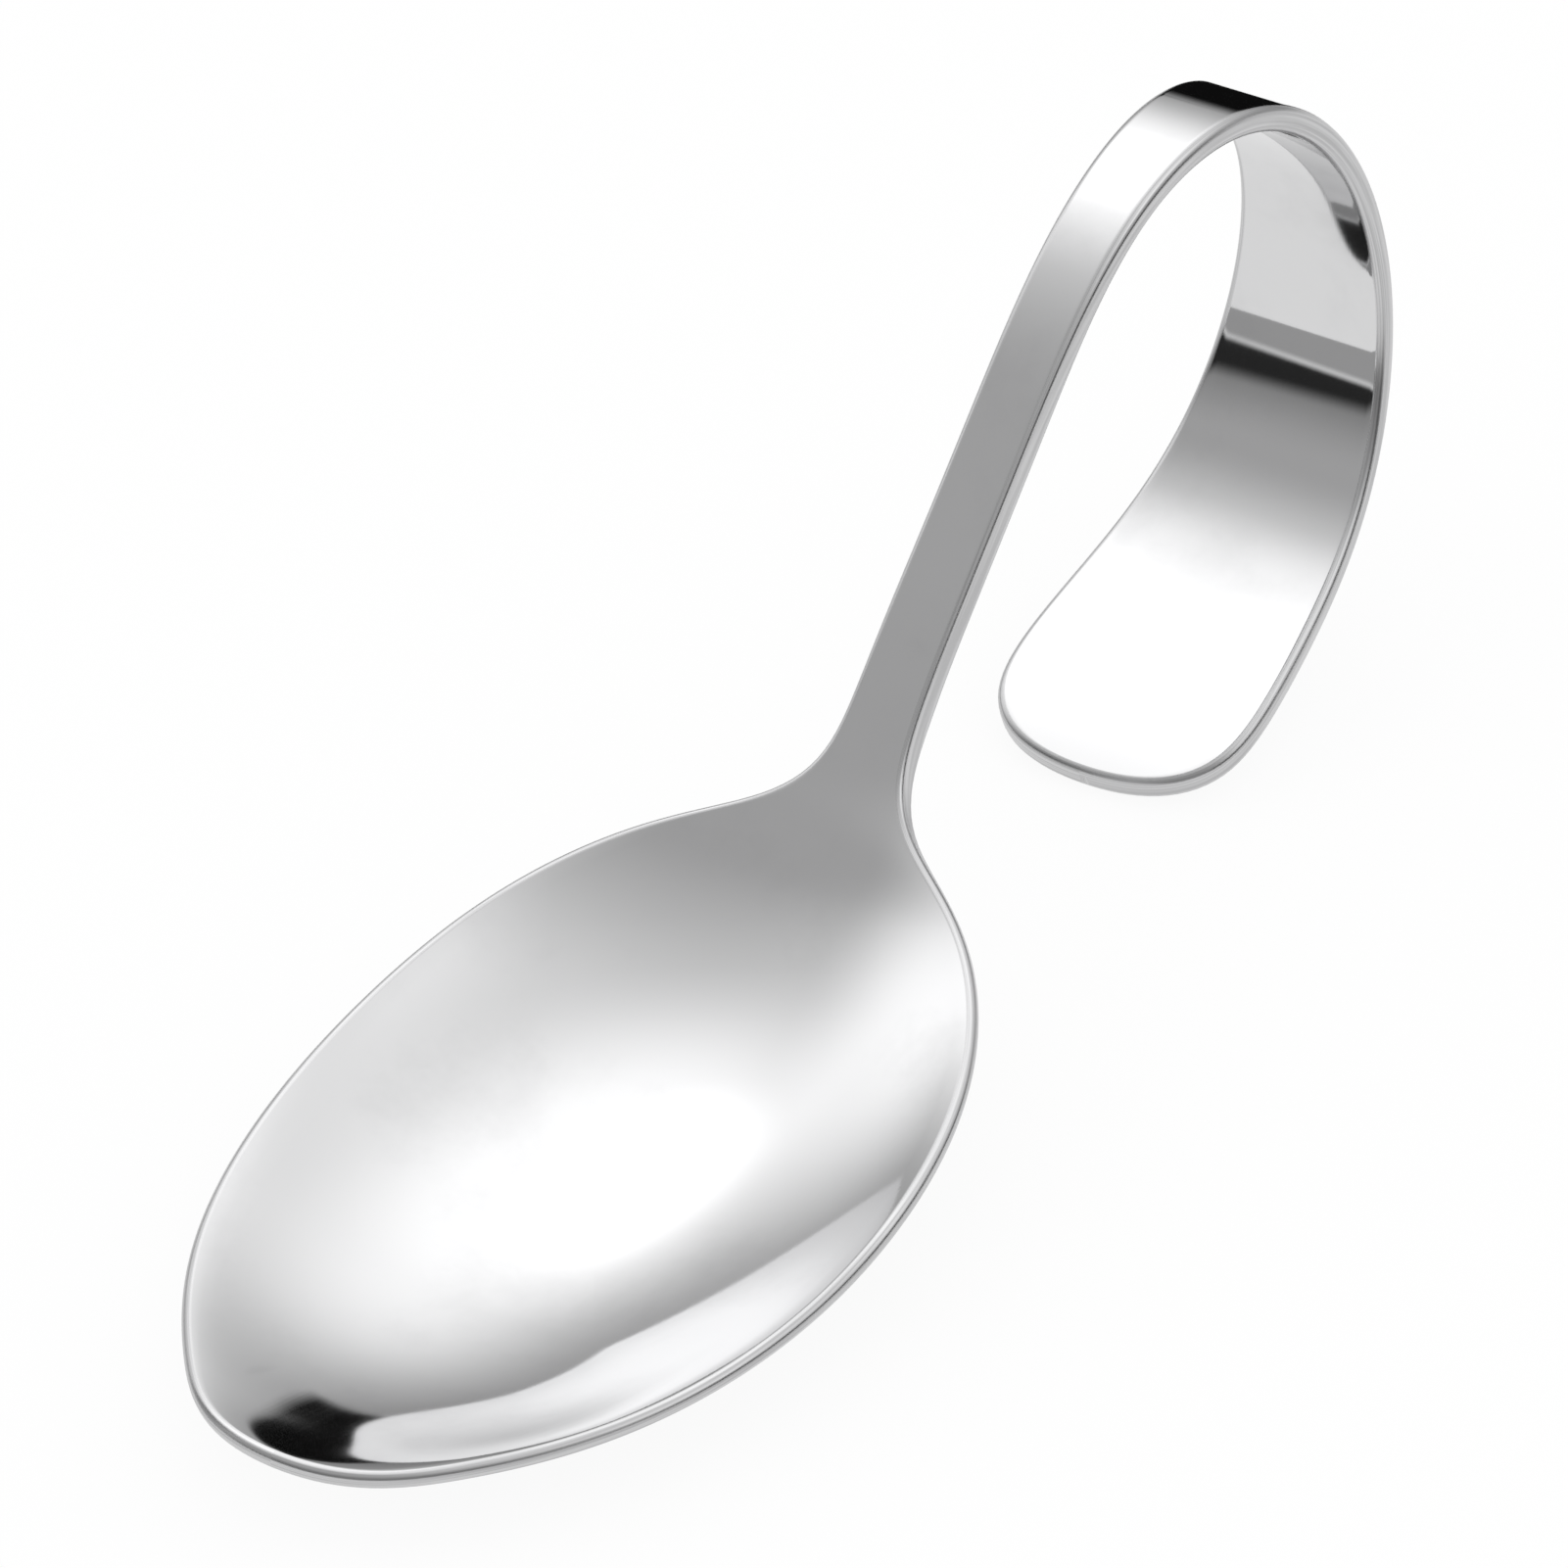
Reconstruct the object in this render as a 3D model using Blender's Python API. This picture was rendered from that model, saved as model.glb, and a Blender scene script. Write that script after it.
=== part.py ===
"""Curved-handle dessert spoon: a steel stamping that stands on its bowl and on its bent-round handle.

The spoon is made the way it is pressed. A flat blank has an outline (half width against the place along
the blank), the blank is bent (heading against the same place), and the bowl is dished. The strip is then
cut at its forming lines into sections, and each section is a closed solid.
"""

import math

import bmesh
import bpy
import numpy as np

# Driving dimensions, in millimetres and degrees.
MM = 0.001

# Half outline of the flat blank: control points of a smooth curve, as (place along the blank, half width).
TIP_OUTLINE = ((-0.6, 0.0), (-0.6, 5.2), (4.5, 10.3), (14.2, 17.05))
BOWL_OUTLINE = TIP_OUTLINE + ((29.0, 20.85), (47.0, 19.5), (58.0, 12.8))
STEM_OUTLINE = ((62.0, 6.0), (66.0, 2.3), (74.0, 2.5), (108.5, 2.1))
FOOT_OUTLINE = ((146.0, 5.25), (179.5, 9.6), (188.6, 9.7), (191.2, 4.3), (191.2, 0.0))
BLANK_OUTLINE = BOWL_OUTLINE + STEM_OUTLINE + FOOT_OUTLINE
BLANK_START = BLANK_OUTLINE[0][0]
BLANK_END = BLANK_OUTLINE[-1][0]

# Bends of the strip, as (place along the blank, heading). The whole strip is then turned, to stand level.
RIM_HEADINGS = ((0.0, -3.0), (28.0, 6.5), (53.0, 16.0))
STEM_HEADINGS = ((60.0, 24.0), (67.0, 45.5), (75.0, 46.0), (96.0, 42.0))
ROUND_HEADINGS = ((106.0, 24.0), (120.0, -14.0), (140.0, -67.5), (160.0, -124.5))
FOOT_HEADINGS = ((172.0, -156.5), (182.0, -161.0), (191.0, -157.0))
HEADINGS = RIM_HEADINGS + STEM_HEADINGS + ROUND_HEADINGS + FOOT_HEADINGS
STANDING_TURN = -0.1

# Depth that the bowl is pressed to at its widest place. The dish fades out in the neck.
BOWL_DEPTH = 6.5
DISH_ENDS = (58.0, 78.0)

# The dish is stronger at the tip, where the rim is rolled to a lip: how much shallower the bowl is
# behind the lip, over which depth the lip turns over, and where along the blank it runs out.
TIP_DISH = 0.17
TIP_REACH = 22.0
LIP_HEIGHT = 0.45
LIP_DEPTH = 0.7
LIP_ENDS = (15.0, 45.0)

# Sheet thickness and edge radius in the bowl, in the stem and past it, and where they change.
SHEETS = (1.15, 2.3, 1.8)
EDGE_RADII = (0.49, 0.4, 0.6)
SHEET_THICKENS = (46.0, 72.0)
SHEET_THINS = (88.0, 110.0)

# The bowl's edge face is turned from square to the sheet, so that it stands plumb.
RIM_TURN = 32.0

# Sections between forming lines, as (name, from, to) along the blank.
SECTIONS = (
    ("bowl", BLANK_START, 66.0),
    ("neck", 66.0, 77.0),
    ("stem", 77.0, 98.0),
    ("crown", 98.0, 138.0),
    ("back", 138.0, 168.0),
    ("foot", 168.0, BLANK_END),
)
SEAM = 0.3

# Facets.
OUTLINE_STEPS = 4001
ROW_STEP = 2.2
COLUMN_STEP = 2.4
LEAST_COLUMNS = 4
EDGE_STEPS = 2
TABLE_STEP = 0.1
SHARP_ANGLE = 40.0
POINTED_WIDTH = 1e-6

STEEL_COLOUR = (0.72, 0.72, 0.73, 1.0)
STEEL_ROUGHNESS = 0.08


def smooth_step(values, start, end):
    """0 before start, 1 after end, and an even ramp between."""
    ramp = np.clip((np.asarray(values, float) - start) / (end - start), 0.0, 1.0)
    return ramp * ramp * (3.0 - 2.0 * ramp)


def natural_spline(knots, values, at):
    """Natural cubic spline through (knots, values), read at the places in at."""
    gaps = np.diff(knots)
    count = len(knots)
    matrix = np.eye(count)
    right = np.zeros(count)
    slopes = np.diff(values) / gaps
    for i in range(1, count - 1):
        matrix[i, i - 1 : i + 2] = gaps[i - 1], 2.0 * (gaps[i - 1] + gaps[i]), gaps[i]
        right[i] = 6.0 * (slopes[i] - slopes[i - 1])
    second = np.linalg.solve(matrix, right)
    at = np.clip(at, knots[0], knots[-1])
    i = np.clip(np.searchsorted(knots, at) - 1, 0, count - 2)
    before = at - knots[i]
    after = knots[i + 1] - at
    bend = (second[i] * after**3 + second[i + 1] * before**3) / (6.0 * gaps[i])
    start = (values[i] / gaps[i] - second[i] * gaps[i] / 6.0) * after
    end = (values[i + 1] / gaps[i] - second[i + 1] * gaps[i] / 6.0) * before
    return bend + start + end


def clamped_curve(points, count):
    """Cubic B-spline that starts and ends on its first and last control points."""
    points = np.array(points, float)
    degree = 3
    inner = np.linspace(0.0, 1.0, len(points) - degree + 1)
    knots = np.concatenate([np.zeros(degree), inner, np.ones(degree)])
    at = np.linspace(0.0, 1.0, count)
    span = np.clip(np.searchsorted(knots, at, side="right") - 1, degree, len(points) - 1)
    work = [points[span - degree + k] for k in range(degree + 1)]
    for level in range(1, degree + 1):
        for k in range(degree, level - 1, -1):
            low = knots[span - degree + k]
            high = knots[span + k - level + 1]
            share = ((at - low) / (high - low))[:, None]
            work[k] = (1.0 - share) * work[k - 1] + share * work[k]
    return work[degree]


def unit(vectors):
    """The same directions with length 1."""
    return vectors / np.linalg.norm(vectors, axis=-1, keepdims=True)


class Blank:
    """The bent and dished strip: its upper face as a function of distance s and sideways place y."""

    def __init__(self):
        self.outline = clamped_curve(BLANK_OUTLINE, OUTLINE_STEPS)
        knots, headings = np.array(HEADINGS).T
        self.s = np.arange(BLANK_START - 1.0, BLANK_END + 1.0, TABLE_STEP)
        self.heading = natural_spline(knots, np.radians(headings + STANDING_TURN), self.s)
        self.x = self.run(np.cos(self.heading))
        self.z = self.run(np.sin(self.heading))
        square = self.outline[:, 1] ** 2
        self.width_squared = np.interp(self.s, self.outline[:, 0], square)
        widest = square[self.outline[:, 0] < SECTIONS[0][2]].max()
        stronger = 1.0 + TIP_DISH * (1.0 - smooth_step(self.s, 0.0, TIP_REACH))
        self.dish = BOWL_DEPTH / widest * stronger * (1.0 - smooth_step(self.s, *DISH_ENDS))

    def run(self, rate):
        """Distance covered along one axis, from where the places are counted."""
        total = np.concatenate([[0.0], np.cumsum((rate[1:] + rate[:-1]) * TABLE_STEP / 2.0)])
        return total - np.interp(0.0, self.s, total)

    def point(self, s, y):
        """Place on the upper face."""
        s = np.asarray(s, float)
        y = np.asarray(y, float)
        heading = np.interp(s, self.s, self.heading)
        dished = np.interp(s, self.s, self.dish) * (np.interp(s, self.s, self.width_squared) - y * y)
        lip = LIP_HEIGHT * (1.0 - smooth_step(s, *LIP_ENDS))
        depth = dished - lip * (1.0 - np.exp(-np.maximum(dished, -LIP_DEPTH) / LIP_DEPTH))
        x = np.interp(s, self.s, self.x) + depth * np.sin(heading)
        z = np.interp(s, self.s, self.z) - depth * np.cos(heading)
        return np.stack([x, np.broadcast_to(y, x.shape), z], -1)

    def tangents(self, s, y):
        """Unit directions on the upper face: along the strip, and across it."""
        near = 2.0 * TABLE_STEP
        inside = np.clip(s, BLANK_START + near, BLANK_END - near)
        along = unit(self.point(inside + near, y) - self.point(inside - near, y))
        across = unit(self.point(s, y + near) - self.point(s, y - near))
        return along, across

    def normal(self, s, y):
        """Unit normal of the upper face."""
        return unit(np.cross(*self.tangents(s, y)))

    def blend(self, s, sizes):
        """A size that goes over from the bowl to the stem, and on to the rest of the handle."""
        bowl, stem, handle = sizes
        thickened = bowl + (stem - bowl) * smooth_step(s, *SHEET_THICKENS)
        return thickened + (handle - stem) * smooth_step(s, *SHEET_THINS)

    def sheet(self, s):
        """Sheet thickness."""
        return self.blend(s, SHEETS)

    def edge_radius(self, s):
        """Radius of the edges."""
        return self.blend(s, EDGE_RADII)

    def edge_turn(self, s):
        """Angle by which the edge face turns downwards from square to the sheet."""
        return math.radians(RIM_TURN) * (1.0 - smooth_step(s, *SHEET_THICKENS))


def section_rows(blank, start, end):
    """Rows of the blank's edge inside one section: place (s, w) and outward direction, tip side first."""
    s, w = blank.outline.T
    length = np.concatenate([[0.0], np.cumsum(np.hypot(np.diff(s), np.diff(w)))])
    first = 0.0 if start == BLANK_START else np.interp(start + SEAM / 2.0, s, length)
    last = length[-1] if end == BLANK_END else np.interp(end - SEAM / 2.0, s, length)
    at = np.linspace(first, last, math.ceil((last - first) / ROW_STEP) + 1)
    edge = np.stack([np.interp(at, length, s), np.interp(at, length, w)], -1)
    ds = np.interp(at, length, np.gradient(s, length))
    dw = np.interp(at, length, np.gradient(w, length))
    return edge, unit(np.stack([-dw, ds], -1))


def edge_frame(blank, place, outward, side):
    """At a place near the edge: the point on the upper face, its normal, and the way out along the face."""
    s, y = place[0], side * place[1]
    along, across = blank.tangents(s, y)
    normal = blank.normal(s, y)
    out = outward[0] * along + side * outward[1] * across
    return blank.point(s, y), normal, unit(out - normal * np.dot(out, normal))


def edge_arc(blank, inset, tucked, outward, side):
    """Rounded edge of the sheet at one row, from the upper face round to the lower one."""
    sheet = blank.sheet(inset[0])
    radius = blank.edge_radius(inset[0])
    corner = math.pi / 2.0 + blank.edge_turn(inset[0])
    upper_turns = np.linspace(0.0, corner, EDGE_STEPS + 1)[1:]
    lower_turns = np.linspace(corner, math.pi, EDGE_STEPS + 1)[:-1]
    points = []
    for place, depth, turns in ((inset, radius, upper_turns), (tucked, sheet - radius, lower_turns)):
        top, normal, out = edge_frame(blank, place, outward, side)
        centre = top - normal * depth
        points += [centre + radius * (out * math.sin(turn) + normal * math.cos(turn)) for turn in turns]
    return points


def section_mesh(blank, start, end):
    """Vertices and faces of one section of the strip."""
    edge, outward = section_rows(blank, start, end)
    radius = blank.edge_radius(edge[:, 0])
    inset = edge - outward * radius[:, None]
    tuck = (blank.sheet(edge[:, 0]) - 2.0 * radius) * np.tan(blank.edge_turn(edge[:, 0]))
    tucked = inset - outward * tuck[:, None]
    columns = max(LEAST_COLUMNS, math.ceil(2.0 * edge[:, 1].max() / COLUMN_STEP))
    share = np.linspace(-1.0, 1.0, columns + 1)
    points = []
    rings = []

    def add(new):
        """Stores points and returns their numbers."""
        points.extend(new)
        return list(range(len(points) - len(new), len(points)))

    for high, low, out in zip(inset, tucked, outward):
        is_end = high[1] < POINTED_WIDTH
        across = np.zeros(1) if is_end else share
        s = np.full(len(across), low[0])
        under = blank.point(s, across * low[1]) - blank.normal(s, across * low[1]) * blank.sheet(high[0])
        upper = add(list(blank.point(np.full(len(across), high[0]), across * high[1])))
        lower = add(list(under))
        left = add(edge_arc(blank, high, low, out, 1.0))
        right = left if is_end else add(edge_arc(blank, high, low, out, -1.0))
        if is_end:
            upper = upper * (columns + 1)
            lower = lower * (columns + 1)
        rings.append(upper + left + lower[::-1] + right[::-1])

    faces = []
    for near, far in zip(rings, rings[1:]):
        for k in range(len(near)):
            n = (k + 1) % len(near)
            faces.append((near[k], near[n], far[n], far[k]))
    arc = 2 * EDGE_STEPS
    for ring, closed in ((rings[0], start == BLANK_START), (rings[-1], end == BLANK_END)):
        if closed:
            continue
        lower = ring[columns + 1 + arc : 2 * columns + 2 + arc][::-1]
        faces += [(ring[j], ring[j + 1], lower[j + 1], lower[j]) for j in range(columns)]
        faces.append(tuple(ring[columns : columns + arc + 2]))
        faces.append(tuple(ring[2 * columns + 1 + arc :] + ring[:1]))
    return np.array(points), [tuple(dict.fromkeys(face)) for face in faces if len(set(face)) > 2]


def steel(name):
    """Polished stainless steel."""
    material = bpy.data.materials.new(name)
    material.use_nodes = True
    shader = material.node_tree.nodes["Principled BSDF"]
    shader.inputs["Base Color"].default_value = STEEL_COLOUR
    shader.inputs["Metallic"].default_value = 1.0
    shader.inputs["Roughness"].default_value = STEEL_ROUGHNESS
    return material


def section_object(name, points, faces, parent):
    """One section as an object, with its origin in its middle."""
    middle = (points.min(axis=0) + points.max(axis=0)) / 2.0
    mesh = bpy.data.meshes.new(name)
    mesh.from_pydata(((points - middle) * MM).tolist(), [], faces)
    shape = bmesh.new()
    shape.from_mesh(mesh)
    bmesh.ops.recalc_face_normals(shape, faces=shape.faces)
    shape.to_mesh(mesh)
    shape.free()
    mesh.shade_smooth()
    mesh.set_sharp_from_angle(angle=math.radians(SHARP_ANGLE))
    mesh.materials.append(steel(name + "_steel"))
    piece = bpy.data.objects.new(name, mesh)
    piece.location = middle * MM
    piece.parent = parent
    bpy.context.scene.collection.objects.link(piece)
    return piece


def main():
    """Builds the spoon with the middle of its footprint at the origin."""
    for old in list(bpy.data.objects):
        bpy.data.objects.remove(old, do_unlink=True)
    blank = Blank()
    solids = {name: section_mesh(blank, start, end) for name, start, end in SECTIONS}

    # The floor is where the foot stands, and the bowl's underside is ground flat to it.
    everything = np.concatenate([points for points, _ in solids.values()])
    floor = solids["foot"][0][:, 2].min()
    centre = (everything[:, 0].min() + everything[:, 0].max()) / 2.0
    print("bowl below the foot by", floor - solids["bowl"][0][:, 2].min(), "mm before grinding")

    spoon = bpy.data.objects.new("spoon", None)
    bpy.context.scene.collection.objects.link(spoon)
    for name, (points, faces) in solids.items():
        points[:, 2] = np.maximum(points[:, 2], floor)
        section_object(name, points - np.array([centre, 0.0, floor]), faces, spoon)


main()
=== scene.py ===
"""Curved-handle dessert spoon: a mirror-polished steel stamping on a white sheet in a small studio.

The spoon's surface is worked out the way it is pressed: a flat outline, bent along its length and
dished at the bowl. Each section between two forming lines is a piece, and the pieces share their
border rows and normals, so that the polish runs on from one to the next without a seam.
"""

import math

import bpy
import numpy as np
from mathutils import Matrix, Vector


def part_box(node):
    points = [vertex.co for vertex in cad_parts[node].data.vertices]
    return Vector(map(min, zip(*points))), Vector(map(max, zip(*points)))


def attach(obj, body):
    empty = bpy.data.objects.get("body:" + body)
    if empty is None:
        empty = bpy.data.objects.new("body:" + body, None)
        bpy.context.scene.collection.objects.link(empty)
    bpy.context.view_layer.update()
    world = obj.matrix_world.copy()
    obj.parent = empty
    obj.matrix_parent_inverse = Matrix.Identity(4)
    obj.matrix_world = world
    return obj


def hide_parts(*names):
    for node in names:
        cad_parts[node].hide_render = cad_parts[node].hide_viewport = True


bl_info = {
    "name": "Curved-handle dessert spoon",
    "version": (1, 0, 0),
    "blender": (4, 5, 0),
    "location": "View3D > Sidebar > Spoon",
    "description": "Builds a polished steel spoon with a bent-round handle, and the studio around it",
    "category": "Add Mesh",
}

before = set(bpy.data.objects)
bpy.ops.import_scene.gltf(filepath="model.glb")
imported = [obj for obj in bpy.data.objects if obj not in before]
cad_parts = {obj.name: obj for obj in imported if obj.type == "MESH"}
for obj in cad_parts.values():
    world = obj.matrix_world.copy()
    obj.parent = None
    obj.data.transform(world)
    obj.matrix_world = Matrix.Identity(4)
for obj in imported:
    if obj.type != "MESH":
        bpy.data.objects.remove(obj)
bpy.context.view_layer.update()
MM = 0.001

# Half outline of the flat blank: control points of a smooth curve, as (place along it, half width), in mm.
TIP_OUTLINE = ((-0.6, 0.0), (-0.6, 5.2), (4.5, 10.3), (14.2, 17.05))
BOWL_OUTLINE = TIP_OUTLINE + ((29.0, 20.85), (47.0, 19.5), (58.0, 12.8))
STEM_OUTLINE = ((62.0, 6.0), (66.0, 2.3), (74.0, 2.5), (108.5, 2.1))
FOOT_OUTLINE = ((146.0, 5.25), (179.5, 9.6), (188.6, 9.7), (191.2, 4.3), (191.2, 0.0))
BLANK_OUTLINE = BOWL_OUTLINE + STEM_OUTLINE + FOOT_OUTLINE
BLANK_START = BLANK_OUTLINE[0][0]
BLANK_END = BLANK_OUTLINE[-1][0]
OUTLINE_STEPS = 4001

# Bends of the strip, as (place along the blank in mm, heading in degrees). The whole strip is then
# turned, to stand level.
RIM_HEADINGS = ((0.0, -3.0), (28.0, 6.5), (53.0, 16.0))
STEM_HEADINGS = ((60.0, 24.0), (67.0, 45.5), (75.0, 46.0), (96.0, 42.0))
ROUND_HEADINGS = ((106.0, 24.0), (120.0, -14.0), (140.0, -67.5), (160.0, -124.5))
FOOT_HEADINGS = ((172.0, -156.5), (182.0, -161.0), (191.0, -157.0))
HEADINGS = RIM_HEADINGS + STEM_HEADINGS + ROUND_HEADINGS + FOOT_HEADINGS
STANDING_TURN = -0.1

# The dish fades out in the neck. At the tip it is stronger by a share, over a reach in mm, and the rim is
# rolled to a lip: how much shallower the bowl is behind the lip, over which depth the lip turns over, and
# where along the blank it runs out, in mm.
DISH_ENDS = (58.0, 78.0)
TIP_DISH = 0.17
TIP_REACH = 22.0
LIP_HEIGHT = 0.45
LIP_DEPTH = 0.7
LIP_ENDS = (15.0, 45.0)

# Where the sheet changes along the strip, in mm.
SHEET_THICKENS = (46.0, 72.0)
SHEET_THINS = (88.0, 110.0)

# Tables of places along the strip, in mm: their step, how far they reach past the blank, and over which
# distance slopes are taken. Points closer than the last of these fall together.
TABLE_STEP = 0.1
TABLE_MARGIN = 1.0
SLOPE_STEP = 2.0 * TABLE_STEP
SAME_PLACE = 1e-6

# Pieces between forming lines, as (CAD node, from, to) along the blank, in mm.
SECTIONS = (
    ("bowl", BLANK_START, 66.0),
    ("neck", 66.0, 77.0),
    ("stem", 77.0, 98.0),
    ("crown", 98.0, 138.0),
    ("back", 138.0, 168.0),
    ("foot", 168.0, BLANK_END),
)

# Maps: places on the strip, in units of 100 mm, 1 on an edge, and places on a card of the stage.
STRIP_MAP = "strip"
EDGE_MAP = "edge"
CARD_MAP = "card"
MAP_UNIT = 100.0

# Lines that polishing leaves: how close they are along the strip and across it, how fine, how strong, what
# they add to the roughness, and between which values they go from dark to light on the ground edges.
LINE_STRETCH = (6.0, 900.0, 0.0)
LINE_DETAIL = 4.0
LINE_STRENGTH = 0.2
LINE_MIDDLE = 0.5
LINE_ROUGHNESS = 0.02
STREAKS = (0.35, 0.65)

# Haze from handling: how small its patches are, how fine, how uneven, and between which values it sets in.
HAZE_SCALE = 70.0
HAZE_DETAIL = 5.0
HAZE_UNEVENNESS = 0.6
HAZE_STARTS = (0.48, 0.72)

# Grain of the white paper, and its depth in mm.
GRAIN_SCALE = 400.0
GRAIN_DETAIL = 3.0
GRAIN_STRENGTH = 0.05
GRAIN_DEPTH = 0.05

# Cards that stand on the floor and show in the polish, as (name, x, y, azimuth that they face away to, half
# width, mean height, slant, brightness, fade), in mm and degrees. The slant is what one upper corner is
# above the mean height and the other below it. The fade is the share of the height that thins out.
CARDS = (
    ("card_crown", 150.0, 46.5, 25.0, 22.5, 77.5, 0.0, 0.005, 0.25),
    ("card_loop", -61.0, 60.0, 155.0, 32.0, 64.0, 6.0, 0.025, 0.3),
    ("card_loop_streak", -60.0, 59.5, 155.0, 32.0, 30.0, -12.0, 0.8, 0.15),
    ("card_loop_skirt", -59.0, 59.0, 155.0, 32.0, 25.5, -12.0, 0.41, 0.15),
    ("card_right", 60.0, -140.0, -75.0, 110.0, 58.0, 0.0, 0.005, 0.25),
)

# Share of the half width over which the cards thin out at their sides, and their corners' places on the map.
CARD_SIDE = 0.2
CARD_SPOTS = ((-1.0, 0.0), (1.0, 0.0), (1.0, 1.0), (-1.0, 1.0))

# A dark bar that leans behind the spoon: its corners as (azimuth, elevation) in degrees, seen from the
# bowl's tip, at a distance in mm, and its brightness, fade and side, as the cards have them.
BAR_SEEN_FROM = Vector((-57.0, 1.0, 5.0))
BAR_DISTANCE = 600.0
BAR_CORNERS = ((32.8, 0.4), (36.85, 1.85), (22.1, 16.3), (20.5, 15.4))
BAR_LEVEL = 0.005
BAR_FADE = 0.22
BAR_SIDE = 0.33

# Soft lights of the room, as (azimuth, elevation, inner and outer radius, brightness), in degrees.
LIGHTS = (
    (37.3, 55.6, 12.0, 41.3, 0.575),
    (49.7, 51.0, 5.0, 20.0, 0.42),
    (93.6, 14.7, 0.0, 41.2, 1.03),
    (75.0, 2.5, 13.4, 33.0, 0.305),
    (-70.0, 32.0, 0.0, 48.4, 0.6),
)

# The room gets brighter towards its front, an azimuth and an elevation, between two cosines of the angle
# to it. Between two elevations it comes up from the dark.
FRONT = (8.2, 14.6)
FRONT_STARTS = (-0.33, 0.35)
HORIZON = (-15.0, 42.0)
ZENITH = (0.0, 90.0)

WHITE = (1.0, 1.0, 1.0, 1.0)
BLACK = (0.0, 0.0, 0.0, 1.0)
UP = Vector((0.0, 0.0, 1.0))


class SpoonSizes(bpy.types.PropertyGroup):
    """Sizes of the stamping"""

    bowl_depth: bpy.props.FloatProperty(
        name="Bowl depth", description="Depth of the bowl at its widest place",
        default=6.5 * MM, unit="LENGTH",
    )
    bowl_sheet: bpy.props.FloatProperty(
        name="Bowl sheet", description="Thickness of the steel in the bowl",
        default=1.15 * MM, unit="LENGTH",
    )
    stem_sheet: bpy.props.FloatProperty(
        name="Stem sheet", description="Thickness of the steel in the stem",
        default=2.3 * MM, unit="LENGTH",
    )
    handle_sheet: bpy.props.FloatProperty(
        name="Handle sheet", description="Thickness of the steel past the stem",
        default=1.8 * MM, unit="LENGTH",
    )
    bowl_edge: bpy.props.FloatProperty(
        name="Bowl edge", description="Radius of the bowl's edges",
        default=0.49 * MM, unit="LENGTH",
    )
    stem_edge: bpy.props.FloatProperty(
        name="Stem edge", description="Radius of the stem's edges",
        default=0.4 * MM, unit="LENGTH",
    )
    handle_edge: bpy.props.FloatProperty(
        name="Handle edge", description="Radius of the edges past the stem",
        default=0.6 * MM, unit="LENGTH",
    )
    rim_turn: bpy.props.FloatProperty(
        name="Rim turn", description="Turn of the bowl's edge face, which stands it plumb",
        default=math.radians(32.0), subtype="ANGLE",
    )
    row_step: bpy.props.FloatProperty(
        name="Row step", description="Distance between rows of the mesh",
        default=0.7 * MM, unit="LENGTH",
    )
    columns: bpy.props.IntProperty(name="Columns", description="Faces across the strip", default=36)
    edge_steps: bpy.props.IntProperty(name="Edge steps", description="Faces round half an edge", default=6)


class SteelFinish(bpy.types.PropertyGroup):
    """Finish of the steel"""

    colour: bpy.props.FloatVectorProperty(
        name="Steel", description="Reflected colour of the polished steel",
        default=(0.66, 0.66, 0.665), subtype="COLOR",
    )
    hazed: bpy.props.FloatVectorProperty(
        name="Hazed steel", description="Reflected colour where handling has dulled it",
        default=(0.61, 0.61, 0.615), subtype="COLOR",
    )
    roughness: bpy.props.FloatProperty(
        name="Roughness", description="Roughness of the mirror polish",
        default=0.045, subtype="FACTOR",
    )
    haze: bpy.props.FloatProperty(
        name="Haze", description="Roughness that handling adds in places",
        default=0.03, subtype="FACTOR",
    )
    edge_roughness: bpy.props.FloatProperty(
        name="Edge roughness", description="Roughness that the ground edges have more",
        default=0.25, subtype="FACTOR",
    )
    # Painted shade: both ground-edge colours are darker than the polish. This is partly the duller ground
    # steel and partly stands in for the shadowed floor that the edges reflect.
    ground_and_shade_dark: bpy.props.FloatVectorProperty(
        name="Ground dark", description="Reflected colour in the dark streaks of the ground edges",
        default=(0.46, 0.46, 0.465), subtype="COLOR",
    )
    ground_and_shade_light: bpy.props.FloatVectorProperty(
        name="Ground light", description="Reflected colour in the light streaks of the ground edges",
        default=(0.6, 0.6, 0.605), subtype="COLOR",
    )
    line_depth: bpy.props.FloatProperty(
        name="Line depth", description="Depth of the lines that polishing leaves",
        default=0.002 * MM, unit="LENGTH",
    )


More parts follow.
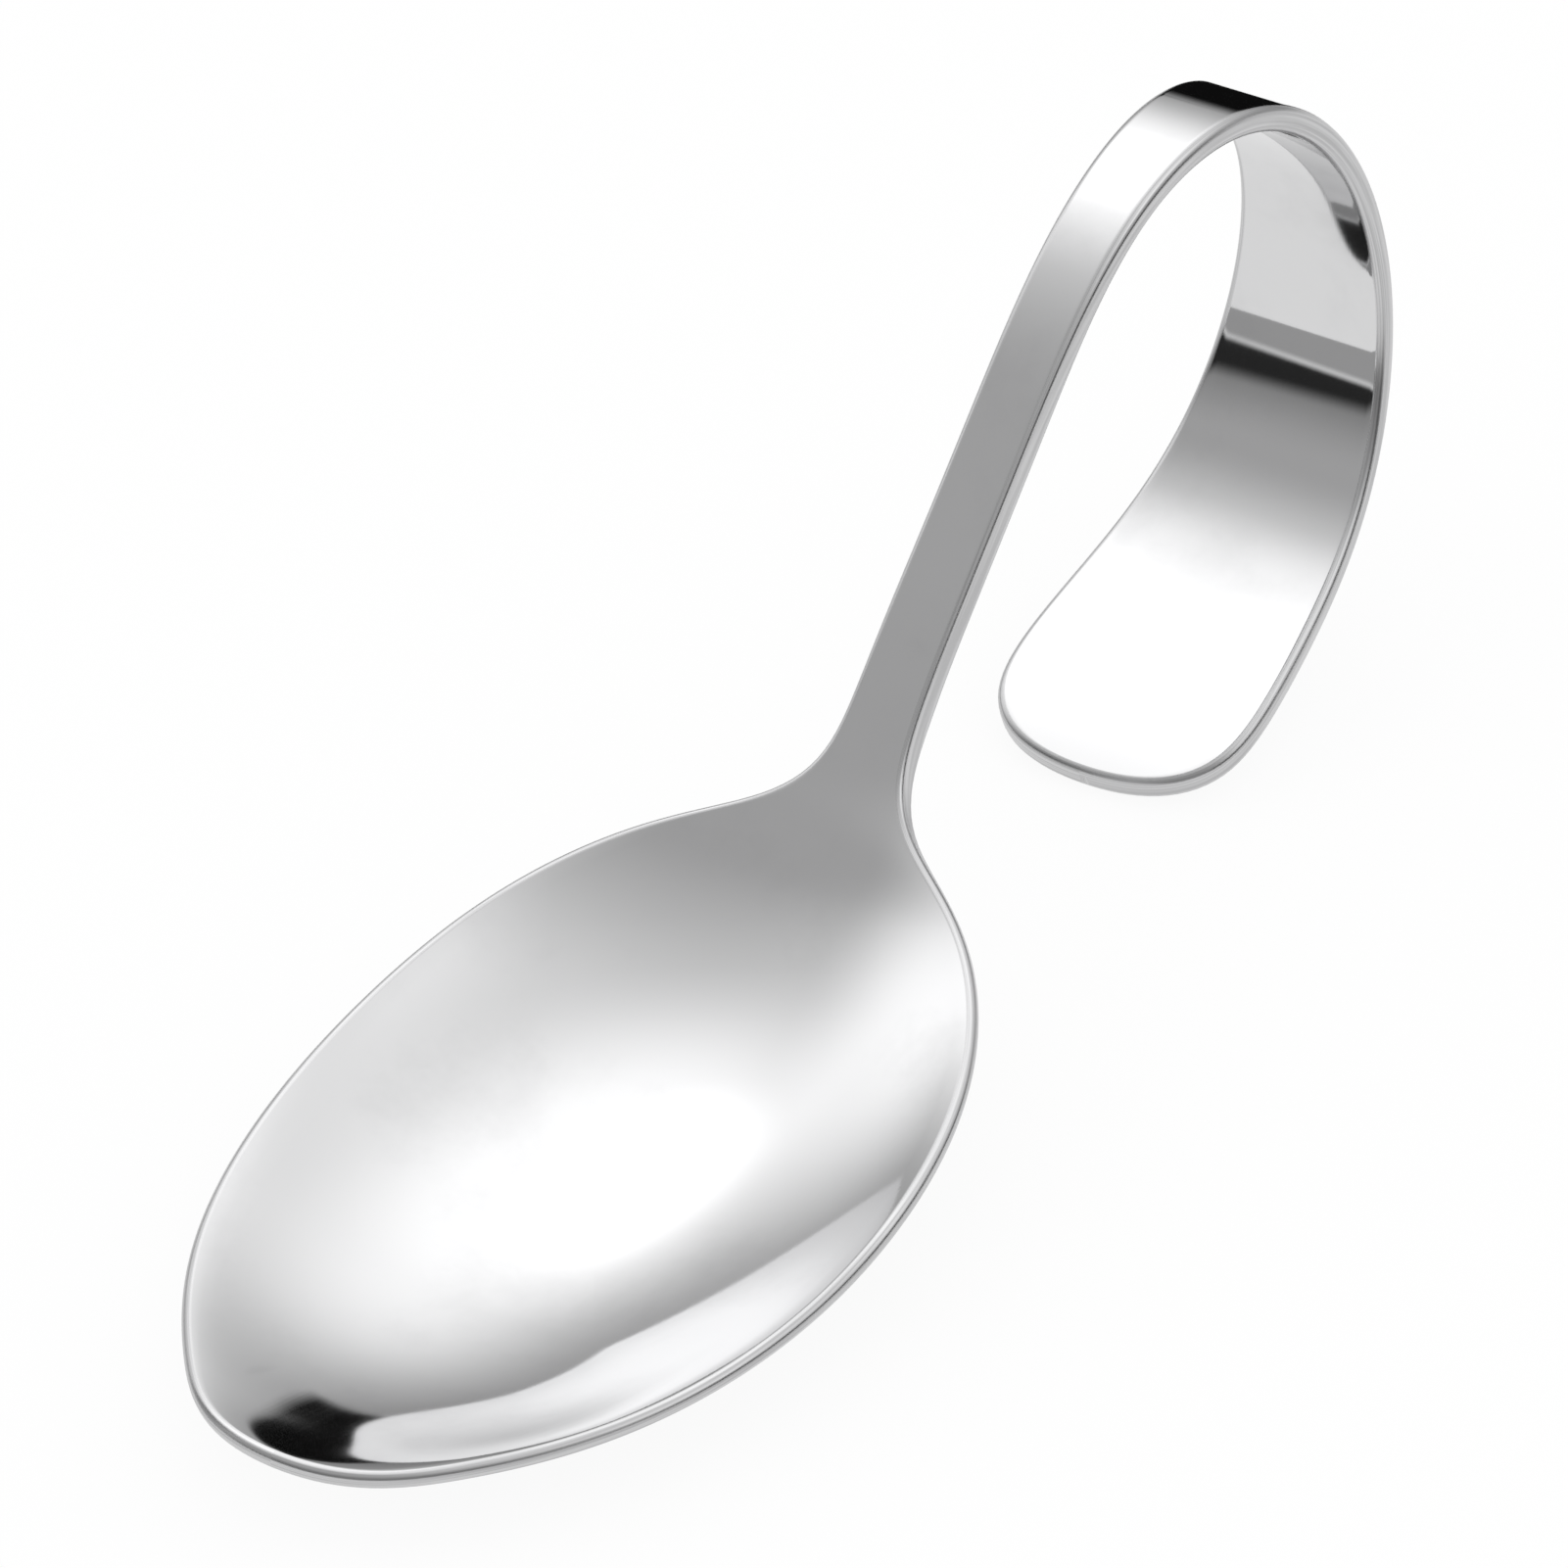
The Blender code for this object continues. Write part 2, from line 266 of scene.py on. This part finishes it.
class StudioSetup(bpy.types.PropertyGroup):
    """Floor, light and camera"""

    floor_colour: bpy.props.FloatVectorProperty(
        name="Floor", description="Colour of the sheet that the spoon stands on",
        default=(0.93, 0.93, 0.93), subtype="COLOR",
    )
    floor_reach: bpy.props.FloatProperty(
        name="Floor reach", description="Half the width of the sheet",
        default=3.0, unit="LENGTH",
    )
    floor_glow: bpy.props.FloatProperty(
        name="Floor glow", description="Share of the sheet's white that shadows don't darken",
        default=0.9, subtype="FACTOR",
    )
    soft_level: bpy.props.FloatProperty(
        name="Soft level", description="Brightness of the even light on matt things",
        default=1.05,
    )
    room_level: bpy.props.FloatProperty(
        name="Room level", description="Brightness of the room behind the camera, in the polish",
        default=0.49,
    )
    front_level: bpy.props.FloatProperty(
        name="Front level", description="Brightness that the room has more in front of the camera",
        default=0.49,
    )
    view_azimuth: bpy.props.FloatProperty(
        name="View azimuth", description="Direction that the camera looks in, from +X",
        default=math.radians(32.553), subtype="ANGLE",
    )
    view_elevation: bpy.props.FloatProperty(
        name="View elevation", description="How far the camera looks down",
        default=math.radians(34.102), subtype="ANGLE",
    )
    view_roll: bpy.props.FloatProperty(
        name="View roll", description="Turn of the camera about its axis",
        default=math.radians(-0.224), subtype="ANGLE",
    )
    view_distance: bpy.props.FloatProperty(
        name="View distance", description="Camera to aim",
        default=507.5 * MM, unit="LENGTH",
    )
    view_aim: bpy.props.FloatVectorProperty(
        name="View aim", description="Point that the camera looks at",
        default=(-2.43 * MM, 2.21 * MM, 18.54 * MM), subtype="TRANSLATION",
    )
    lens: bpy.props.FloatProperty(
        name="Lens", description="Focal length in millimetres on a 36 mm frame",
        default=185.5,
    )


# Shader expressions


class Wire:
    """A socket of a node tree, to be used in Python expressions on values."""

    def __init__(self, board, socket):
        self.board = board
        self.socket = socket

    def __add__(self, other):
        return self.board.math("ADD", self, other)

    def __radd__(self, other):
        return self.board.math("ADD", other, self)

    def __sub__(self, other):
        return self.board.math("SUBTRACT", self, other)

    def __rsub__(self, other):
        return self.board.math("SUBTRACT", other, self)

    def __mul__(self, other):
        return self.board.math("MULTIPLY", self, other)

    def __rmul__(self, other):
        return self.board.math("MULTIPLY", other, self)


class Board:
    """A node tree that nodes are added to."""

    def __init__(self, owner):
        owner.use_nodes = True
        self.tree = owner.node_tree
        self.tree.nodes.clear()

    def add(self, kind, settings=None, sockets=None, out=0):
        """Adds a node: its settings first, then values or links of its sockets. Gives one output."""
        node = self.tree.nodes.new(kind)
        for name, value in (settings or {}).items():
            setattr(node, name, value)
        for key, value in (sockets or {}).items():
            if isinstance(value, Wire):
                self.tree.links.new(value.socket, node.inputs[key])
            else:
                node.inputs[key].default_value = value
        return Wire(self, node.outputs[out]) if node.outputs else node

    def math(self, operation, first, second=0.0):
        """A Math node on one or two values."""
        return self.add("ShaderNodeMath", {"operation": operation}, {0: first, 1: second})

    def mix(self, share, first, second):
        """A colour between two, each of which is a link or three numbers."""
        start, end = [value if isinstance(value, Wire) else (*value, 1.0) for value in (first, second)]
        return self.add("ShaderNodeMix", {"data_type": "RGBA"}, {0: share, 6: start, 7: end}, out=2)

    def smooth(self, value, start, end):
        """0 at start, 1 at end, and an even ramp between."""
        return self.add(
            "ShaderNodeMapRange",
            {"interpolation_type": "SMOOTHSTEP"},
            {"Value": value, "From Min": start, "From Max": end},
        )


def shiny(board):
    """1 for rays from a mirror or through glass, and 0 for others."""
    glossy = board.add("ShaderNodeLightPath", out="Is Glossy Ray")
    through = board.add("ShaderNodeLightPath", out="Is Transmission Ray")
    return board.math("MAXIMUM", glossy, through)


def shiny_or_seen(board):
    """1 for rays from the camera, a mirror or glass, and 0 for those that carry soft light."""
    seen = board.add("ShaderNodeLightPath", out="Is Camera Ray")
    return board.math("MAXIMUM", seen, shiny(board))


# Shape of the strip


def smooth_step(values, start, end):
    """0 before start, 1 after end, and an even ramp between."""
    ramp = np.clip((np.asarray(values, float) - start) / (end - start), 0.0, 1.0)
    return ramp * ramp * (3.0 - 2.0 * ramp)


def natural_spline(knots, values, at):
    """Natural cubic spline through (knots, values), read at the places in at."""
    gaps = np.diff(knots)
    count = len(knots)
    matrix = np.eye(count)
    right = np.zeros(count)
    slopes = np.diff(values) / gaps
    for i in range(1, count - 1):
        matrix[i, i - 1 : i + 2] = gaps[i - 1], 2.0 * (gaps[i - 1] + gaps[i]), gaps[i]
        right[i] = 6.0 * (slopes[i] - slopes[i - 1])
    second = np.linalg.solve(matrix, right)
    at = np.clip(at, knots[0], knots[-1])
    i = np.clip(np.searchsorted(knots, at) - 1, 0, count - 2)
    before = at - knots[i]
    after = knots[i + 1] - at
    bend = (second[i] * after**3 + second[i + 1] * before**3) / (6.0 * gaps[i])
    start = (values[i] / gaps[i] - second[i] * gaps[i] / 6.0) * after
    end = (values[i + 1] / gaps[i] - second[i + 1] * gaps[i] / 6.0) * before
    return bend + start + end


def clamped_curve(points, count):
    """Cubic B-spline that starts and ends on its first and last control points."""
    points = np.array(points, float)
    degree = 3
    inner = np.linspace(0.0, 1.0, len(points) - degree + 1)
    knots = np.concatenate([np.zeros(degree), inner, np.ones(degree)])
    at = np.linspace(0.0, 1.0, count)
    span = np.clip(np.searchsorted(knots, at, side="right") - 1, degree, len(points) - 1)
    work = [points[span - degree + k] for k in range(degree + 1)]
    for level in range(1, degree + 1):
        for k in range(degree, level - 1, -1):
            low = knots[span - degree + k]
            high = knots[span + k - level + 1]
            share = ((at - low) / (high - low))[:, None]
            work[k] = (1.0 - share) * work[k - 1] + share * work[k]
    return work[degree]


def unit(vectors):
    """The same directions with length 1."""
    return vectors / np.linalg.norm(vectors, axis=-1, keepdims=True)


class Strip:
    """The bent and dished strip, in mm: its upper face by the place s along it and the place y across."""

    def __init__(self, sizes):
        self.sheets = [size / MM for size in (sizes.bowl_sheet, sizes.stem_sheet, sizes.handle_sheet)]
        self.edges = [size / MM for size in (sizes.bowl_edge, sizes.stem_edge, sizes.handle_edge)]
        self.rim_turn = sizes.rim_turn
        self.outline = clamped_curve(BLANK_OUTLINE, OUTLINE_STEPS)
        knots, headings = np.array(HEADINGS).T
        self.s = np.arange(BLANK_START - TABLE_MARGIN, BLANK_END + TABLE_MARGIN, TABLE_STEP)
        self.heading = natural_spline(knots, np.radians(headings + STANDING_TURN), self.s)
        self.x = self.run(np.cos(self.heading))
        self.z = self.run(np.sin(self.heading))
        square = self.outline[:, 1] ** 2
        self.width_squared = np.interp(self.s, self.outline[:, 0], square)
        widest = square[self.outline[:, 0] < SECTIONS[0][2]].max()
        stronger = 1.0 + TIP_DISH * (1.0 - smooth_step(self.s, 0.0, TIP_REACH))
        self.dish = sizes.bowl_depth / MM / widest * stronger * (1.0 - smooth_step(self.s, *DISH_ENDS))

    def run(self, rate):
        """Distance covered along one axis, from where the places are counted."""
        total = np.concatenate([[0.0], np.cumsum((rate[1:] + rate[:-1]) * TABLE_STEP / 2.0)])
        return total - np.interp(0.0, self.s, total)

    def point(self, s, y):
        """Place on the upper face."""
        heading = np.interp(s, self.s, self.heading)
        dished = np.interp(s, self.s, self.dish) * (np.interp(s, self.s, self.width_squared) - y * y)
        lip = LIP_HEIGHT * (1.0 - smooth_step(s, *LIP_ENDS))
        depth = dished - lip * (1.0 - np.exp(-np.maximum(dished, -LIP_DEPTH) / LIP_DEPTH))
        x = np.interp(s, self.s, self.x) + depth * np.sin(heading)
        z = np.interp(s, self.s, self.z) - depth * np.cos(heading)
        return np.stack([x, y, z], -1)

    def axes(self, s, y):
        """Unit directions at a place on the upper face: along the strip, across it, and out of it."""
        inside = np.clip(s, BLANK_START + SLOPE_STEP, BLANK_END - SLOPE_STEP)
        along = unit(self.point(inside + SLOPE_STEP, y) - self.point(inside - SLOPE_STEP, y))
        across = unit(self.point(s, y + SLOPE_STEP) - self.point(s, y - SLOPE_STEP))
        return along, across, unit(np.cross(along, across))

    def blend(self, s, sizes):
        """A size that goes over from the bowl to the stem and on to the rest of the handle."""
        bowl, stem, handle = sizes
        to_stem = (stem - bowl) * smooth_step(s, *SHEET_THICKENS)
        to_handle = (handle - stem) * smooth_step(s, *SHEET_THINS)
        return bowl + to_stem + to_handle

    def sheet(self, s):
        """Thickness of the steel."""
        return self.blend(s, self.sheets)

    def edge_radius(self, s):
        """Radius of the edges."""
        return self.blend(s, self.edges)

    def edge_turn(self, s):
        """Angle by which the edge face turns downwards from square to the sheet."""
        return self.rim_turn * (1.0 - smooth_step(s, *SHEET_THICKENS))

    def rows(self, step):
        """Rows at the blank's edge, one of them on each forming line: place, outward direction, borders."""
        s, w = self.outline.T
        length = np.concatenate([[0.0], np.cumsum(np.hypot(np.diff(s), np.diff(w)))])
        ends = [0.0]
        ends += [np.interp(end, s, length) for _, _, end in SECTIONS[:-1]]
        ends += [length[-1]]
        at = np.zeros(1)
        borders = [0]
        for first, last in zip(ends, ends[1:]):
            count = math.ceil((last - first) / step)
            at = np.concatenate([at, np.linspace(first, last, count + 1)[1:]])
            borders.append(len(at) - 1)
        edge = np.stack([np.interp(at, length, s), np.interp(at, length, w)], -1)
        ds = np.interp(at, length, np.gradient(s, length))
        dw = np.interp(at, length, np.gradient(w, length))
        return edge, unit(np.stack([-dw, ds], -1)), borders

    def edge_arc(self, inset, tucked, outward, side, steps):
        """Rounded edges of all rows on one side, from the upper face round to the lower one."""
        corner = math.pi / 2.0 + self.edge_turn(inset[:, 0])
        share = np.linspace(0.0, 1.0, steps + 1)
        upper_turns = [corner * part for part in share[1:]]
        lower_turns = [corner + (math.pi - corner) * part for part in share[:-1]]
        points = []
        for place, turns, is_upper in ((inset, upper_turns, True), (tucked, lower_turns, False)):
            s, y = place[:, 0], side * place[:, 1]
            along, across, normal = self.axes(s, y)
            out = outward[:, :1] * along + side * outward[:, 1:] * across
            out = unit(out - normal * np.sum(out * normal, -1, keepdims=True))
            sheet = self.sheet(inset[:, 0])[:, None]
            radius = self.edge_radius(inset[:, 0])[:, None]
            centre = self.point(s, y) - normal * (radius if is_upper else sheet - radius)
            for turn in turns:
                around = out * np.sin(turn)[:, None] + normal * np.cos(turn)[:, None]
                points.append(centre + radius * around)
        return np.stack(points, 1)

    def grid(self, sizes):
        """Rows as rings: upper face, edge, lower face, edge. Also places, 1 on an edge, and borders."""
        edge, outward, borders = self.rows(sizes.row_step / MM)
        radius = self.edge_radius(edge[:, 0])
        inset = edge - outward * radius[:, None]
        tuck = (self.sheet(edge[:, 0]) - 2.0 * radius) * np.tan(self.edge_turn(edge[:, 0]))
        tucked = inset - outward * tuck[:, None]
        share = np.linspace(-1.0, 1.0, sizes.columns + 1)
        high_s = np.repeat(inset[:, :1], len(share), 1)
        high_y = inset[:, 1:] * share
        low_s = np.repeat(tucked[:, :1], len(share), 1)
        low_y = tucked[:, 1:] * share
        upper = self.point(high_s, high_y)
        lower = self.point(low_s, low_y) - self.axes(low_s, low_y)[2] * self.sheet(high_s)[..., None]
        left = self.edge_arc(inset, tucked, outward, 1.0, sizes.edge_steps)
        right = self.edge_arc(inset, tucked, outward, -1.0, sizes.edge_steps)
        points = np.concatenate([upper, left, lower[:, ::-1], right[:, ::-1]], 1)
        arc = left.shape[1]
        side_s = np.repeat(edge[:, :1], arc, 1)
        side_y = self.sheet(edge[:, :1]) * np.linspace(0.0, 1.0, arc)
        place_s = np.concatenate([high_s, side_s, low_s, side_s], 1)
        place_y = np.concatenate([high_y, side_y, low_y[:, ::-1], -side_y[:, ::-1]], 1)
        face, side = np.zeros_like(high_y), np.ones_like(side_y)
        on_edge = np.concatenate([face, side, face, side], 1)
        return points, np.stack([place_s, place_y, on_edge], -1), borders


def placed(points, borders):
    """The points with the tip at the CAD tip and the foot on the floor, to which the bowl is ground flat."""
    foot = points[borders[-2] :]
    points = points - (points[..., 0].min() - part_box("bowl")[0].x / MM, 0.0, foot[..., 2].min())
    points[..., 2] = np.maximum(points[..., 2], 0.0)
    return points


def fall_together(points):
    """Which points of a ring fall together with which."""
    return np.abs(points[:, None] - points[None]).sum(-1) < SAME_PLACE


def same_points(points, numbers):
    """Numbers of a ring's points, with the same number where points fall together."""
    return numbers[np.argmax(fall_together(points), 1)]


def grid_normals(points):
    """Normals of a grid of closed rings, each the mean of the faces around a point."""
    after = np.roll(points, -1, 1)
    faces = np.cross(after[1:] - points[:-1], after[:-1] - points[1:])
    faces = faces + np.roll(faces, 1, 1)
    normals = np.zeros_like(points)
    normals[:-1] += faces
    normals[1:] += faces
    for row in (0, -1):
        normals[row] = fall_together(points[row]) @ normals[row]
    return unit(normals)


def section_mesh(name, points, normals, places, columns, closed):
    """One section as a mesh: its rings, its ends, its normals, and a map of places on the strip."""
    rows, ring = points.shape[:2]
    number = np.arange(rows * ring).reshape(rows, ring)
    if closed[0]:
        number[0] = same_points(points[0], number[0])
    if closed[1]:
        number[-1] = same_points(points[-1], number[-1])
    turned = np.roll(number, -1, 1)
    quads = np.stack([number[:-1], number[1:], turned[1:], turned[:-1]], -1).reshape(-1, 4)
    faces = [tuple(dict.fromkeys(quad)) for quad in quads.tolist()]
    faces = [face for face in faces if len(face) > 2]
    directions = [normals.reshape(-1, 3)[list(face)] for face in faces]

    arc = (ring - 2 * columns - 2) // 2
    for row, near, is_closed, way in ((0, 1, closed[0], 1), (-1, -2, closed[1], -1)):
        if is_closed:
            continue
        end = number[row].tolist()
        lower = end[columns + 1 + arc : 2 * columns + 2 + arc][::-1]
        caps = [(end[j], end[j + 1], lower[j + 1], lower[j]) for j in range(columns)]
        caps.append(tuple(end[columns : columns + arc + 2]))
        caps.append(tuple(end[2 * columns + 1 + arc :] + end[:1]))
        end_normal = unit(np.mean(points[row] - points[near], 0))
        faces += [cap[::way] for cap in caps]
        directions += [np.repeat(end_normal[None], len(cap), 0) for cap in caps]

    used = np.unique(np.concatenate([np.array(face) for face in faces]))
    renumber = np.zeros(rows * ring, int)
    renumber[used] = np.arange(len(used))
    corners = (points.reshape(-1, 3)[used] * MM).tolist()
    mesh = bpy.data.meshes.new(name)
    mesh.from_pydata(corners, [], [renumber[list(face)].tolist() for face in faces])
    mesh.shade_smooth()
    spots = np.concatenate([places.reshape(-1, 3)[list(face)] for face in faces])
    maps = {STRIP_MAP: spots[:, :2] / MAP_UNIT, EDGE_MAP: spots[:, [2, 2]]}
    for map_name, values in maps.items():
        mesh.uv_layers.new(name=map_name).data.foreach_set("uv", values.astype(np.float32).ravel())
    mesh.normals_split_custom_set(np.concatenate(directions).tolist())
    return mesh


# Finish of the steel


def polished_steel(finish):
    """Mirror-polished stainless steel: fine lines along the strip, a light haze from handling, and ground
    edges in a darker colour that is partly painted shade.
    """
    material = bpy.data.materials.new("polished_steel")
    board = Board(material)
    place = board.add("ShaderNodeUVMap", {"uv_map": STRIP_MAP})
    stretched = board.add("ShaderNodeVectorMath", {"operation": "MULTIPLY"}, {0: place, 1: LINE_STRETCH})
    lines = board.add(
        "ShaderNodeTexNoise",
        {"noise_dimensions": "2D"},
        {"Vector": stretched, "Scale": 1.0, "Detail": LINE_DETAIL},
    )
    around = board.add("ShaderNodeTexCoord", out="Object")
    cloud = board.add(
        "ShaderNodeTexNoise",
        {},
        {"Vector": around, "Scale": HAZE_SCALE, "Detail": HAZE_DETAIL, "Roughness": HAZE_UNEVENNESS},
    )
    haze = board.smooth(cloud, *HAZE_STARTS)

    polished = board.mix(haze, finish.colour, finish.hazed)
    # Painted shade on the ground edges: their colour is darker than the polish, partly for the duller ground
    # steel and partly in place of the shadowed floor they reflect. The streaks follow the polishing lines.
    ground = board.mix(board.smooth(lines, *STREAKS), finish.ground_and_shade_dark, finish.ground_and_shade_light)
    edge_map = board.add("ShaderNodeUVMap", {"uv_map": EDGE_MAP})
    on_edge = board.add("ShaderNodeSeparateXYZ", {}, {0: edge_map}, out="X")
    colour = board.mix(on_edge, polished, ground)
    roughness = finish.roughness + finish.haze * haze + finish.edge_roughness * on_edge
    roughness = roughness + (lines - LINE_MIDDLE) * LINE_ROUGHNESS
    bump = board.add(
        "ShaderNodeBump",
        {},
        {"Strength": LINE_STRENGTH, "Distance": finish.line_depth, "Height": lines},
        out="Normal",
    )
    steel = board.add(
        "ShaderNodeBsdfPrincipled",
        {},
        {"Base Color": colour, "Metallic": 1.0, "Roughness": roughness, "Normal": bump},
    )
    board.add("ShaderNodeOutputMaterial", {}, {"Surface": steel})
    return material


class OBJECT_OT_spoon_stamping(bpy.types.Operator):
    """Makes the spoon's sections, which stand for the CAD sections"""

    bl_idname = "object.spoon_stamping"
    bl_label = "Make the spoon"

    def execute(self, context):
        sizes = context.scene.spoon_sizes
        steel = polished_steel(context.scene.spoon_finish)
        points, places, borders = Strip(sizes).grid(sizes)
        points = placed(points, borders)
        normals = grid_normals(points)

        last = len(SECTIONS) - 1
        for k, (node, _, _) in enumerate(SECTIONS):
            part = slice(borders[k], borders[k + 1] + 1)
            closed = (k == 0, k == last)
            mesh = section_mesh(node, points[part], normals[part], places[part], sizes.columns, closed)
            mesh.materials.append(steel)
            piece = bpy.data.objects.new("spoon_" + node, mesh)
            context.scene.collection.objects.link(piece)
            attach(piece, "root")
            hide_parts(node)
        return {"FINISHED"}


# Studio


def direction(azimuth, elevation):
    """Unit vector for an azimuth from +X and an elevation."""
    level = math.cos(elevation)
    return Vector((level * math.cos(azimuth), level * math.sin(azimuth), math.sin(elevation)))


def white_sheet(studio):
    """White paper that takes the spoon's shadow, and that a camera or a mirror sees as white."""
    material = bpy.data.materials.new("white_sheet")
    board = Board(material)
    grain = board.add("ShaderNodeTexNoise", {}, {"Scale": GRAIN_SCALE, "Detail": GRAIN_DETAIL})
    paper = board.add(
        "ShaderNodeBump",
        {},
        {"Strength": GRAIN_STRENGTH, "Distance": GRAIN_DEPTH * MM, "Height": grain},
        out="Normal",
    )
    matt = board.add("ShaderNodeBsdfDiffuse", {}, {"Color": (*studio.floor_colour, 1.0), "Normal": paper})
    white = board.add("ShaderNodeEmission", {}, {"Color": WHITE, "Strength": 1.0})
    share = shiny_or_seen(board) * studio.floor_glow
    sheet = board.add("ShaderNodeMixShader", {}, {0: share, 1: matt, 2: white})
    board.add("ShaderNodeOutputMaterial", {}, {"Surface": sheet})
    return material


def card_felt(name, level, fade, side):
    """Felt of a card, of an even brightness. It gets thinner towards the card's top and sides."""
    material = bpy.data.materials.new(name)
    board = Board(material)
    place = board.add("ShaderNodeUVMap", {"uv_map": CARD_MAP})
    aside = board.add("ShaderNodeSeparateXYZ", {}, {0: place}, out="X")
    height = board.add("ShaderNodeSeparateXYZ", {}, {0: place}, out="Y")
    off_middle = board.math("ABSOLUTE", aside)
    inside = 1.0 - board.smooth(off_middle, 1.0 - side, 1.0)
    cover = inside * (1.0 - board.smooth(height, 1.0 - fade, 1.0))
    felt = board.add(
        "ShaderNodeBsdfPrincipled",
        {},
        {
            "Base Color": BLACK,
            "Roughness": 1.0,
            "Specular IOR Level": 0.0,
            "Emission Color": (level, level, level, 1.0),
            "Emission Strength": 1.0,
            "Alpha": cover,
        },
    )
    board.add("ShaderNodeOutputMaterial", {}, {"Surface": felt})
    return material


def flat_piece(name, corners, material):
    """A flat four-cornered piece of the stage."""
    mesh = bpy.data.meshes.new(name)
    mesh.from_pydata([tuple(corner) for corner in corners], [], [(0, 1, 2, 3)])
    mesh.materials.append(material)
    piece = bpy.data.objects.new(name, mesh)
    bpy.context.scene.collection.objects.link(piece)
    return piece


def card(name, corners, level, fade, side):
    """A card that is seen only in the polish. It thins out towards its last two corners."""
    piece = flat_piece(name, corners, card_felt(name + "_felt", level, fade, side))
    for corner, spot in zip(piece.data.uv_layers.new(name=CARD_MAP).data, CARD_SPOTS):
        corner.uv = spot
    piece.visible_camera = False
    piece.visible_diffuse = False
    piece.visible_shadow = False


def standing_card(name, x, y, azimuth, half, height, slant, level, fade):
    """A card that stands on the floor."""
    aside = direction(math.radians(azimuth), 0.0).cross(UP) * half * MM
    foot = Vector((x, y, 0.0)) * MM
    first = foot - aside
    second = foot + aside
    first_top = first + UP * ((height - slant) * MM)
    second_top = second + UP * ((height + slant) * MM)
    card(name, (first, second, second_top, first_top), level, fade, CARD_SIDE)


def leaning_bar():
    """The dark bar, by the directions of its corners."""
    corners = []
    for azimuth, elevation in BAR_CORNERS:
        sight = direction(math.radians(azimuth), math.radians(elevation))
        corners.append((BAR_SEEN_FROM + sight * BAR_DISTANCE) * MM)
    card("leaning_bar", corners, BAR_LEVEL, BAR_FADE, BAR_SIDE)


def facing(board, ray, azimuth, elevation):
    """Cosine of the angle between a ray and a direction in degrees."""
    towards = direction(math.radians(azimuth), math.radians(elevation))
    settings = {"operation": "DOT_PRODUCT"}
    return board.add("ShaderNodeVectorMath", settings, {0: ray, 1: towards}, out="Value")


def soft_room(studio):
    """Even light on matt things. In the polish, a room with soft lights, brighter in front and above."""
    world = bpy.data.worlds.new("soft_room")
    board = Board(world)
    ray = board.add("ShaderNodeTexCoord", out="Generated")
    room = studio.room_level + board.smooth(facing(board, ray, *FRONT), *FRONT_STARTS) * studio.front_level
    for azimuth, elevation, inner, outer, level in LIGHTS:
        angle = board.math("ARCCOSINE", facing(board, ray, azimuth, elevation))
        room = room + (1.0 - board.smooth(angle, math.radians(inner), math.radians(outer))) * level
    rise = board.math("ARCSINE", facing(board, ray, *ZENITH))
    room = room * board.smooth(rise, math.radians(HORIZON[0]), math.radians(HORIZON[1]))

    strength = studio.soft_level + shiny(board) * (room - studio.soft_level)
    glow = board.add("ShaderNodeBackground", {}, {"Color": WHITE, "Strength": strength})
    board.add("ShaderNodeOutputWorld", {}, {"Surface": glow})
    return world


def studio_camera(studio):
    """Camera at the photograph's viewing angle."""
    forward = direction(studio.view_azimuth, -studio.view_elevation)
    right = forward.cross(UP).normalized()
    turn = Matrix.Rotation(studio.view_roll, 3, forward)
    right = turn.inverted() @ right
    up = right.cross(forward)
    data = bpy.data.cameras.new("camera")
    data.lens = studio.lens
    camera = bpy.data.objects.new("camera", data)
    camera.matrix_world = Matrix((right, up, -forward)).transposed().to_4x4()
    camera.location = Vector(studio.view_aim) - forward * studio.view_distance
    return camera


class OBJECT_OT_spoon_stage(bpy.types.Operator):
    """Sets up the white sheet, the light and the camera"""

    bl_idname = "object.spoon_stage"
    bl_label = "Set up the studio"

    def execute(self, context):
        scene = context.scene
        studio = scene.spoon_studio
        reach = studio.floor_reach
        corners = ((-reach, -reach, 0.0), (reach, -reach, 0.0), (reach, reach, 0.0), (-reach, reach, 0.0))
        flat_piece("floor", corners, white_sheet(studio))
        for sizes in CARDS:
            standing_card(*sizes)
        leaning_bar()
        scene.world = soft_room(studio)
        camera = studio_camera(studio)
        scene.collection.objects.link(camera)
        scene.camera = camera
        scene.view_settings.view_transform = "Standard"
        return {"FINISHED"}


class VIEW3D_PT_spoon(bpy.types.Panel):
    """Sizes, finish and studio of the spoon"""

    bl_label = "Dessert spoon"
    bl_space_type = "VIEW_3D"
    bl_region_type = "UI"
    bl_category = "Spoon"

    def draw(self, context):
        layout = self.layout
        for group in (context.scene.spoon_sizes, context.scene.spoon_finish, context.scene.spoon_studio):
            box = layout.box()
            for name in group.__annotations__:
                box.prop(group, name)
        layout.operator(OBJECT_OT_spoon_stamping.bl_idname)
        layout.operator(OBJECT_OT_spoon_stage.bl_idname)


GROUPS = {"spoon_sizes": SpoonSizes, "spoon_finish": SteelFinish, "spoon_studio": StudioSetup}
CLASSES = (*GROUPS.values(), OBJECT_OT_spoon_stamping, OBJECT_OT_spoon_stage, VIEW3D_PT_spoon)


def register():
    """Adds the classes, and the settings of each scene."""
    for cls in CLASSES:
        bpy.utils.register_class(cls)
    for name, group in GROUPS.items():
        setattr(bpy.types.Scene, name, bpy.props.PointerProperty(type=group))


def unregister():
    """Takes them away again."""
    for name in GROUPS:
        delattr(bpy.types.Scene, name)
    for cls in reversed(CLASSES):
        bpy.utils.unregister_class(cls)


def main():
    """Builds the spoon and its stage."""
    register()
    bpy.ops.object.spoon_stamping()
    bpy.ops.object.spoon_stage()


if __name__ == "__main__":
    main()
